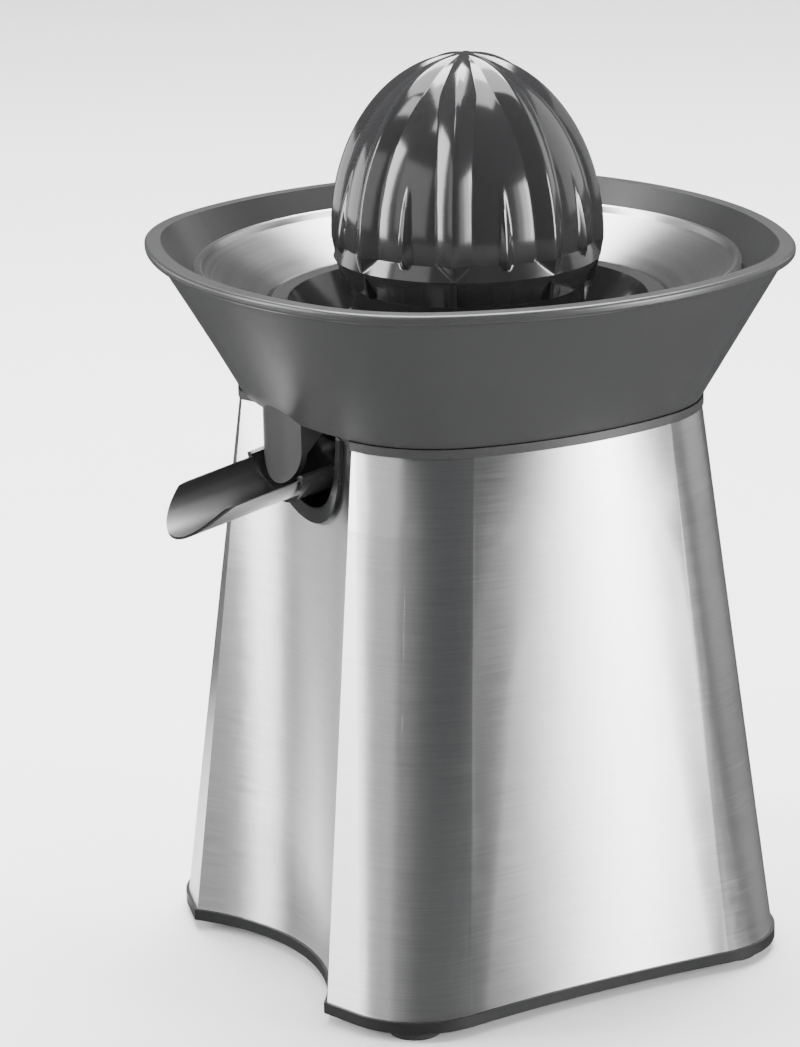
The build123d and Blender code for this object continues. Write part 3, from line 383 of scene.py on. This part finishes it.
def brushed(name, streaks_from, dark, light, rough, drawn, turn, crowned=None, satin=None):
    """Brushed steel: streaks_from gives the brush lines, drawn how far they smear light."""
    steel = Finish(name, Metallic=1.0, Anisotropic=drawn, Anisotropic_Rotation=turn)
    fine = steel.noise(1.0, 3.0, streaks_from(steel))
    cloud = steel.noise(CLOUD_SCALE, 2.0)
    colour = steel.tint(LINE_SHARE * fine + (1 - LINE_SHARE) * cloud, dark, light)
    roughness = rough + LINE_ROUGH * fine + CLOUD_ROUGH * cloud
    if satin:
        # Inside the channel the colour is darkened as painted shade, and the roughness is raised as
        # satin.
        inside = satin(steel)
        colour = steel.tint(CHANNEL_SHADE_SHARE * inside, colour, CHANNEL_SHADE_TONE)
        roughness = roughness + CHANNEL_ROUGH * inside
    steel.feed("Base Color", colour)
    steel.feed("Roughness", roughness)
    height = FINE_LINES * fine
    steel.relief(height + crowned(steel) if crowned else height, 1.0, 1.0)
    return steel.material


def round_the_body(steel):
    return steel.stretched(60.0, 60.0, 2000.0)


def along_the_spout(steel):
    return steel.stretched(1500.0, 20.0, 60.0)


def spun_about_axis(steel):
    x, y, _ = steel.about_axis(steel.place)
    radius = (x * x + y * y) ** 0.5
    return steel.node("ShaderNodeCombineXYZ", None, {0: 1400.0 * radius, 1: 9.0 * x, 2: 9.0 * y})


sleeve_steel = brushed(
    "sleeve_steel", round_the_body, (0.50, 0.50, 0.50), (0.76, 0.755, 0.75),
    rough=0.28, drawn=0.92, turn=0.25, crowned=crown)
spun_steel = brushed(
    "spun_steel", spun_about_axis, (0.48, 0.48, 0.48), (0.72, 0.71, 0.70),
    rough=0.28, drawn=0.92, turn=0.25)
spout_steel = brushed(
    "spout_steel", along_the_spout, (0.34, 0.34, 0.345), (0.54, 0.535, 0.53),
    rough=0.14, drawn=0.3, turn=0.0, satin=channel)
print("steels:", [m.name for m in (sleeve_steel, spun_steel, spout_steel)])

# %% [markdown]
# ## Mouldings
# The bowl is a dark grey moulding with a fine satin grain, while the reamer, basket and
# spout pocket are polished black. The satin's grain is a quarter of a millimetre wide and
# the gloss has slow waves of three millimetres. With a cloud in the roughness, neither
# looks like a flat colour.

# %% Plastics and rubber
BLOTCH_SCALE, GRAIN_SHARE, GRAIN_STRENGTH = 22.0, 0.4, 0.25


def moulded(name, dark, light, rough, spread, grain, depth):
    """Moulded plastic: grain is in grains a metre, depth the height of its relief."""
    plastic = Finish(name)
    fine = plastic.noise(grain, 2.0)
    cloud = plastic.noise(BLOTCH_SCALE, 3.0)
    share = GRAIN_SHARE * fine + (1 - GRAIN_SHARE) * cloud
    plastic.feed("Base Color", plastic.tint(share, dark, light))
    plastic.feed("Roughness", rough + spread * cloud)
    plastic.relief(fine, GRAIN_STRENGTH, depth)
    return plastic.material


grey_satin = moulded(
    "grey_satin", (0.022, 0.022, 0.0225), (0.031, 0.031, 0.0315), 0.29, 0.10, 3800, 0.00006)
black_gloss = moulded(
    "black_gloss", (0.013, 0.013, 0.0135), (0.019, 0.019, 0.0195), 0.10, 0.05, 300, 0.00003)
dark_matte = moulded(
    "dark_matte", (0.006, 0.006, 0.0065), (0.011, 0.011, 0.0115), 0.42, 0.14, 3200, 0.00008)
soft_rubber = moulded(
    "soft_rubber", (0.010, 0.010, 0.010), (0.022, 0.022, 0.021), 0.66, 0.16, 2400, 0.00010)
frame_plastic = moulded(
    "frame_plastic", (0.12, 0.12, 0.13), (0.18, 0.18, 0.19), 0.45, 0.14, 2600, 0.00008)
gear_plastic = moulded(
    "gear_plastic", (0.62, 0.60, 0.54), (0.76, 0.74, 0.68), 0.36, 0.12, 2000, 0.00004)
studio_paper = moulded(
    "studio_paper", (0.80, 0.80, 0.80), (0.84, 0.84, 0.835), 0.80, 0.10, 900, 0.00010)
for sheet in (floor, card):
    sheet.data.materials.append(studio_paper)
print("mouldings ready")

# %% [markdown]
# ## Drive metals
# Inside are turned steel, stacked iron sheets, bronze and cast alloy. The iron's sheets
# are half a millimetre thick, so a wave of a millimetre along Z, one sheet light and one
# dark, tells them apart.

# %% Metals of the drive


def turned_metal(name, dark, light, rough):
    """Turned metal with rings along its length."""
    metal = Finish(name, Metallic=1.0)
    rings = metal.noise(1.0, 2.0, metal.stretched(60.0, 60.0, 2600.0))
    cloud = metal.noise(40.0, 2.0)
    metal.feed("Base Color", metal.tint(0.5 * rings + 0.5 * cloud, dark, light))
    metal.feed("Roughness", rough + 0.12 * rings + 0.06 * cloud)
    metal.relief(rings, 0.12, 0.0001)
    return metal.material


def stacked_sheets(name, dark, light):
    """Iron sheets half a millimetre thick."""
    metal = Finish(name, Metallic=0.85)
    sockets = {"Vector": metal.place, "Scale": 320.0}
    edge = metal.node("ShaderNodeTexWave", {"bands_direction": "Z"}, sockets, out="Fac")
    cloud = metal.noise(60.0, 3.0)
    metal.feed("Base Color", metal.tint(0.6 * edge + 0.4 * cloud, dark, light))
    metal.feed("Roughness", 0.38 + 0.2 * cloud)
    metal.relief(edge, 0.3, 0.0002)
    return metal.material


turned_steel = turned_metal("turned_steel", (0.44, 0.44, 0.45), (0.64, 0.64, 0.65), 0.20)
bush_bronze = turned_metal("bush_bronze", (0.40, 0.27, 0.11), (0.58, 0.41, 0.19), 0.34)
bracket_alloy = turned_metal("bracket_alloy", (0.48, 0.48, 0.49), (0.62, 0.62, 0.63), 0.40)
winding = turned_metal("winding", (0.42, 0.16, 0.05), (0.66, 0.29, 0.11), 0.24)
laminated_iron = stacked_sheets("laminated_iron", (0.13, 0.13, 0.14), (0.27, 0.27, 0.28))
print("drive metals ready")

# %% [markdown]
# ## Dressing
# Each node takes the finish that its record names. Three differ from it: the dish is
# spun, the spout is brushed lengthways, and the collar has the bowl's satin. The dish is
# also kept out of mirror images, since its wide highlight would wash out the reamer's
# foot.

# %% Dress every CAD node
FINISHES = {
    "sleeve_steel": sleeve_steel, "black_gloss": black_gloss, "grey_satin": grey_satin,
    "dark_matte": dark_matte, "soft_rubber": soft_rubber, "frame_plastic": frame_plastic,
    "gear_plastic": gear_plastic, "turned_steel": turned_steel, "laminated_iron": laminated_iron,
    "winding": winding, "bush_bronze": bush_bronze, "bracket_alloy": bracket_alloy,
}
for part in frame["record"]["subparts"]:
    node = nodes[part["node"]]
    node.data.materials.clear()
    node.data.materials.append(FINISHES[part["material_slot"]])
nodes["steel_dish"].data.materials[0] = spun_steel
nodes["spout_trough"].data.materials[0] = spout_steel
nodes["top_collar"].data.materials[0] = grey_satin
nodes["steel_dish"].visible_glossy = False
print("dressed nodes:", len(nodes))

# %% [markdown]
# ## Reamer
# The reamer is one polished moulding: eight V ribs run from its tip to a flared band, a
# short pointed rib stands between each pair, and below the lip it narrows to a neck. It
# could be sculpted, but every point follows a rule: its distance from the axis depends
# only on its height and its angle. So a plain turned blank comes first, one closed grid
# from the tip over the lip into the hollow underside. Then Geometry Nodes press the
# ribs into it by that rule, with the ribs' sizes as inputs of the tree.

# %% Growing a mesh from a tree


class Growth(Graph):
    """A geometry tree with named number inputs."""

    def __init__(self, name, sizes):
        super().__init__(bpy.data.node_groups.new(name, "GeometryNodeTree"))
        self.name, self.sizes = name, sizes
        sockets = self.tree.interface
        sockets.new_socket("Geometry", in_out="INPUT", socket_type="NodeSocketGeometry")
        for label, value in sizes.items():
            kind = "NodeSocketInt" if isinstance(value, int) else "NodeSocketFloat"
            sockets.new_socket(label, in_out="INPUT", socket_type=kind)
        sockets.new_socket("Geometry", in_out="OUTPUT", socket_type="NodeSocketGeometry")
        self.given = self.tree.nodes.new("NodeGroupInput")

    def input(self, label):
        return Value(self, self.given.outputs[label])

    def inputs(self, *labels):
        return [self.input(label) for label in labels]

    def mesh(self, result, material, blank=None):
        """Ends the tree in Realize Instances and Set Material, and keeps a plain mesh."""
        real = self.node("GeometryNodeRealizeInstances", None, {"Geometry": result})
        painted = self.node("GeometryNodeSetMaterial", None, {"Geometry": real, "Material": material})
        out = self.tree.nodes.new("NodeGroupOutput")
        self.tree.links.new(painted.socket, out.inputs[0])
        seed = bpy.data.objects.new(self.name + "_seed", blank or bpy.data.meshes.new(self.name))
        bpy.context.scene.collection.objects.link(seed)
        modifier = seed.modifiers.new(self.name, "NODES")
        modifier.node_group = self.tree
        for item in self.tree.interface.items_tree:
            if item.in_out == "INPUT" and item.name in self.sizes:
                modifier[item.identifier] = self.sizes[item.name]
        graph = bpy.context.evaluated_depsgraph_get()
        mesh = bpy.data.meshes.new_from_object(seed.evaluated_get(graph), depsgraph=graph)
        seed.modifiers.remove(modifier)
        bpy.data.objects.remove(seed)
        mesh.name = self.name
        return mesh


def new_piece(name, mesh, material, body):
    """An object at the origin that rides on a body and takes its finish from a slot."""
    mesh.materials.clear()
    mesh.materials.append(material)
    piece = bpy.data.objects.new(name, mesh)
    bpy.context.scene.collection.objects.link(piece)
    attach(piece, body)
    return piece


print("growing helpers ready")

# %% Turned blank
CREST_R, CREST_HEIGHT, CREST_Z = 41.4, 54.35, 225.0
BAND_Z, LIP_Z, LIP_R = 222.9, 218.3, 40.5
NECK_R, NECK_TOP_Z, NECK_BOTTOM_Z = 35.4, 209.6, 194.0
CAVITY_R, CAVITY_TOP_Z = 32.4, 221.0
BOSS_R, BOSS_Z = 8.5, 205.3
SOCKET_FLATS, SOCKET_TOP_Z = 8.1, 236.0
EDGE = 0.4
RIB_COUNT, POINTS_A_RIB = 8, 60
TIP_TURN, DOME_ROWS = 1.52, 64
BAND_SHARES = (0.03, 0.08, 0.2, 0.35, 0.5, 0.65, 0.8, 0.92, 1.0)
ANGLES = np.linspace(0, 2 * math.pi, RIB_COUNT * POINTS_A_RIB, endpoint=False)


def ring_at(radius, z):
    """One ring of the grid, in metres."""
    radius = radius * np.ones(len(ANGLES))
    x, y = radius * np.cos(ANGLES), radius * np.sin(ANGLES)
    return np.stack([x * MM, y * MM + AXIS_Y, z * MM * np.ones(len(ANGLES))], axis=1)


def blank_rings():
    """Rings from the tip down the outside, then up the hollow and into the hex socket."""
    low = math.asin((BAND_Z - CREST_Z) / CREST_HEIGHT)
    rings = []
    for turn in np.linspace(TIP_TURN, low, DOME_ROWS):
        rings.append(ring_at(CREST_R * math.cos(turn), CREST_Z + CREST_HEIGHT * math.sin(turn)))
    for share in BAND_SHARES:
        radius = CREST_R + (LIP_R - CREST_R) * share
        rings.append(ring_at(radius, BAND_Z + (LIP_Z - BAND_Z) * share))
    hexagon = SOCKET_FLATS / 2 / np.cos((ANGLES % (math.pi / 3)) - math.pi / 6)
    profile = (
        (LIP_R - EDGE / 2, LIP_Z - EDGE), (NECK_R + EDGE, NECK_TOP_Z + EDGE),
        (NECK_R, NECK_TOP_Z - EDGE), (NECK_R, NECK_BOTTOM_Z + EDGE),
        (NECK_R - EDGE, NECK_BOTTOM_Z), (CAVITY_R + EDGE, NECK_BOTTOM_Z),
        (CAVITY_R, NECK_BOTTOM_Z + EDGE), (CAVITY_R, CAVITY_TOP_Z),
        (BOSS_R, CAVITY_TOP_Z), (BOSS_R, BOSS_Z + EDGE), (BOSS_R - EDGE, BOSS_Z),
        (hexagon, BOSS_Z), (hexagon, SOCKET_TOP_Z))
    return rings + [ring_at(radius, z) for radius, z in profile]


def closed_grid(name, rings):
    """A closed skin through rings of equal point count, with a pole at either end."""
    count = len(rings[0])
    points = [p for ring in rings for p in ring]
    first, last = len(points), len(points) + 1
    points += [np.mean(rings[0], axis=0), np.mean(rings[-1], axis=0)]
    faces = []
    for row in range(len(rings) - 1):
        a, b = row * count, (row + 1) * count
        for i in range(count):
            j = (i + 1) % count
            faces.append((a + i, b + i, b + j, a + j))
    end = (len(rings) - 1) * count
    for i in range(count):
        j = (i + 1) % count
        faces.append((first, i, j))
        faces.append((last, end + j, end + i))
    mesh = bpy.data.meshes.new(name)
    mesh.from_pydata([tuple(p) for p in points], [], faces)
    mesh.polygons.foreach_set("use_smooth", [True] * len(faces))
    return mesh


reamer_blank = closed_grid("reamer_blank", blank_rings())
print("blank faces:", len(reamer_blank.polygons))

# %% Ribs pressed into the blank
RIB_PHASE = math.radians(-35.8)
RIB_SIZES = {
    "Ribs": RIB_COUNT, "First Turn": RIB_PHASE, "Rib Height": 2.7 * MM, "Rib Half": 4.9 * MM,
    "Rib Soft": 0.45 * MM, "Tear Height": 1.9 * MM, "Tear Half": 1.9 * MM, "Tear Top": 247 * MM,
    "Tear Soft": 0.2 * MM, "Tear Share": 0.42, "Sliver": 0.05 * MM,
}
TIP_SHARE, STEEPEST, WIDEST = 0.3, 0.9, 0.62
INSIDE_MARGIN = 2.0
SHARP_DEGREES = 32


def soft_reach(distance, soft):
    """A distance whose first bit is rounded off, which blunts a crest."""
    return (distance * distance + soft * soft) ** 0.5 - soft


def press_ribs():
    """The reamer's mesh: the blank, with every point of its outside moved by the rule."""
    tree = Growth("reamer_skin", RIB_SIZES)
    ribs, first = tree.inputs("Ribs", "First Turn")
    height, half, soft = tree.inputs("Rib Height", "Rib Half", "Rib Soft")
    tear_height, tear_half, tear_top = tree.inputs("Tear Height", "Tear Half", "Tear Top")
    tear_soft, tear_share, sliver = tree.inputs("Tear Soft", "Tear Share", "Sliver")
    x, y, z = tree.about_axis(tree.node("GeometryNodeInputPosition"))
    radius = (x * x + y * y) ** 0.5
    step = math.pi / ribs
    turn = x.maths("ARCTAN2", y, x) - first
    off = abs((turn + step) % (2 * step) - step)
    away = step - off

    # Dome: the blank's own radius is the crest of the ribs, which narrow towards the tip
    raised = height.at_most(TIP_SHARE * radius)
    core = radius - raised
    lean = x.maths("ARCSINE", (half / core).at_most(STEEPEST))
    rib_half = core * lean.at_most(WIDEST * step)
    rib = raised * (1 - soft_reach(core * off, soft) / rib_half).held()
    fade = ((tear_top - z) / (tear_top - CREST_Z * MM)).held()
    tear = 1 - soft_reach(core * away, tear_soft) / (sliver + tear_half * fade ** 0.5)
    dome = core + rib.at_least(tear_height * fade * tear.held())

    # Flared band: each rib narrows to a point at the lip, each tear ends in a round
    share = ((BAND_Z * MM - z) / ((BAND_Z - LIP_Z) * MM)).held()
    foot = CREST_R * MM - height
    face = foot + (LIP_R * MM - foot) * share
    point = (1 - foot * off / (half * (1 - share)).at_least(sliver)).held()
    notch = (1 - (share / tear_share) ** 2).held() ** 0.5
    drop = (1 - foot * away / (sliver + tear_half * notch)).held()
    band = (face + (radius - face) * point).at_least(foot + tear_height * notch * drop)

    in_band = z < BAND_Z * MM
    pressed = in_band * band + (1 - in_band) * dome
    scale = pressed / radius
    spot = tree.node("ShaderNodeCombineXYZ", None, {0: x * scale, 1: y * scale + AXIS_Y, 2: z})
    beside = 1 - (radius < (CAVITY_R + INSIDE_MARGIN) * MM)
    outside = beside.at_least(1 - (z < (SOCKET_TOP_Z + INSIDE_MARGIN) * MM))
    above_lip = 1 - (z < (LIP_Z - EDGE / 2) * MM)
    moved = tree.node("GeometryNodeSetPosition", None, {
        "Geometry": tree.input("Geometry"), "Selection": outside * above_lip, "Position": spot})
    mesh = tree.mesh(moved, black_gloss, reamer_blank)
    mesh.set_sharp_from_angle(angle=math.radians(SHARP_DEGREES))
    return mesh


reamer_skin = new_piece("reamer_skin", press_ribs(), black_gloss, "reamer")
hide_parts("reamer")
print("reamer faces:", len(reamer_skin.data.polygons))

# %% [markdown]
# ## Fins under the lip
# Thin upright fins stiffen the lip under each rib. They repeat round a circle, which is
# what Geometry Nodes do well: one flat outline is filled, thickened and placed at every
# point of a ring. The tree's sizes are inputs, and Realize Instances makes it plain mesh.

# %% Fins
FIN_SIZES = {"Fins": RIB_COUNT, "Thickness": 1.2 * MM, "First Turn": RIB_PHASE}
FIN_ROOT_R, FIN_TIP_R, FIN_FOOT_R = 34.9 * MM, 40.2 * MM, 38.7 * MM
FIN_TOP, FIN_FOOT, FIN_BOTTOM = 217.8 * MM, 210.2 * MM, 209.4 * MM
FIN_ROUND, ROUND_STEPS = 0.7 * MM, 4


def make_fins():
    """One fin for each rib, set round the axis."""
    tree = Growth("lip_fins", FIN_SIZES)
    count, thickness, first = tree.inputs("Fins", "Thickness", "First Turn")
    outline = tree.node("GeometryNodeCurvePrimitiveQuadrilateral", {"mode": "POINTS"}, {
        "Point 1": (FIN_ROOT_R, FIN_TOP, 0), "Point 2": (FIN_TIP_R, FIN_TOP, 0),
        "Point 3": (FIN_FOOT_R, FIN_FOOT, 0), "Point 4": (FIN_ROOT_R, FIN_BOTTOM, 0)})
    rounded = tree.node("GeometryNodeFilletCurve", {"mode": "POLY"}, {
        "Curve": outline, "Count": ROUND_STEPS, "Radius": FIN_ROUND})
    filled = tree.node("GeometryNodeFillCurve", None, {"Curve": rounded})
    thick = tree.node("GeometryNodeExtrudeMesh", {"mode": "FACES"}, {
        "Mesh": filled, "Offset Scale": thickness})
    flipped = tree.node("GeometryNodeFlipFaces", None, {"Mesh": filled})
    both = tree.node("GeometryNodeJoinGeometry", None, {0: [flipped, thick]})
    merged = tree.node("GeometryNodeMergeByDistance", None, {"Geometry": both})
    shift = tree.node("ShaderNodeCombineXYZ", None, {1: 0.5 * thickness})
    upright = tree.node("GeometryNodeTransform", None, {
        "Geometry": merged, "Translation": shift, "Rotation": (math.pi / 2, 0, 0)})
    ring = tree.node("GeometryNodeMeshCircle", None, {"Vertices": count, "Radius": 0.0})
    turn = tree.node("GeometryNodeInputIndex") / count * (2 * math.pi) + first
    about_z = tree.node("ShaderNodeCombineXYZ", None, {2: turn})
    placed = tree.node("GeometryNodeInstanceOnPoints", None, {
        "Points": ring, "Instance": upright, "Rotation": about_z})
    moved = tree.node("GeometryNodeTransform", None, {
        "Geometry": placed, "Translation": (0, AXIS_Y, 0)})
    return tree.mesh(moved, black_gloss)


lip_fins = new_piece("lip_fins", make_fins(), black_gloss, "reamer")
print("fin faces:", len(lip_fins.data.polygons))

# %% [markdown]
# ## Return spring
# A coil spring under the shaft's flange lifts the reamer when nothing presses on it. A
# spring is a wire along a helix, so the tree draws a spiral and sweeps a small circle
# along it. It rides on the gear whose hub it stands on.

# %% Spring
SPRING_SIZES = {
    "Turns": 3.5, "Coil Radius": 7.2 * MM, "Wire Radius": 0.7 * MM, "Height": 9.0 * MM,
}
COIL_STEPS, WIRE_STEPS = 48, 16
HUB_TOP, SHAFT_TRAVEL, SPRING_SLACK = 154 * MM, 2.5 * MM, 0.05 * MM


def make_spring():
    """The spring's wire, wound up from the gear's hub."""
    tree = Growth("spring_coil", SPRING_SIZES)
    turns, coil, wire, height = tree.inputs("Turns", "Coil Radius", "Wire Radius", "Height")
    helix = tree.node("GeometryNodeCurveSpiral", None, {
        "Resolution": COIL_STEPS, "Rotations": turns, "Start Radius": coil, "End Radius": coil,
        "Height": height - 2 * wire})
    section = tree.node("GeometryNodeCurvePrimitiveCircle", {"mode": "RADIUS"}, {
        "Resolution": WIRE_STEPS, "Radius": wire})
    swept = tree.node("GeometryNodeCurveToMesh", None, {
        "Curve": helix, "Profile Curve": section, "Fill Caps": True})
    smooth = tree.node("GeometryNodeSetShadeSmooth", None, {"Geometry": swept})
    seat = tree.node("ShaderNodeCombineXYZ", None, {1: AXIS_Y, 2: HUB_TOP + wire})
    moved = tree.node("GeometryNodeTransform", None, {"Geometry": smooth, "Translation": seat})
    return tree.mesh(moved, turned_steel)


spring_coil = new_piece("spring_coil", make_spring(), turned_steel, "output")
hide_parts("return_spring")
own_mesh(spring_coil)
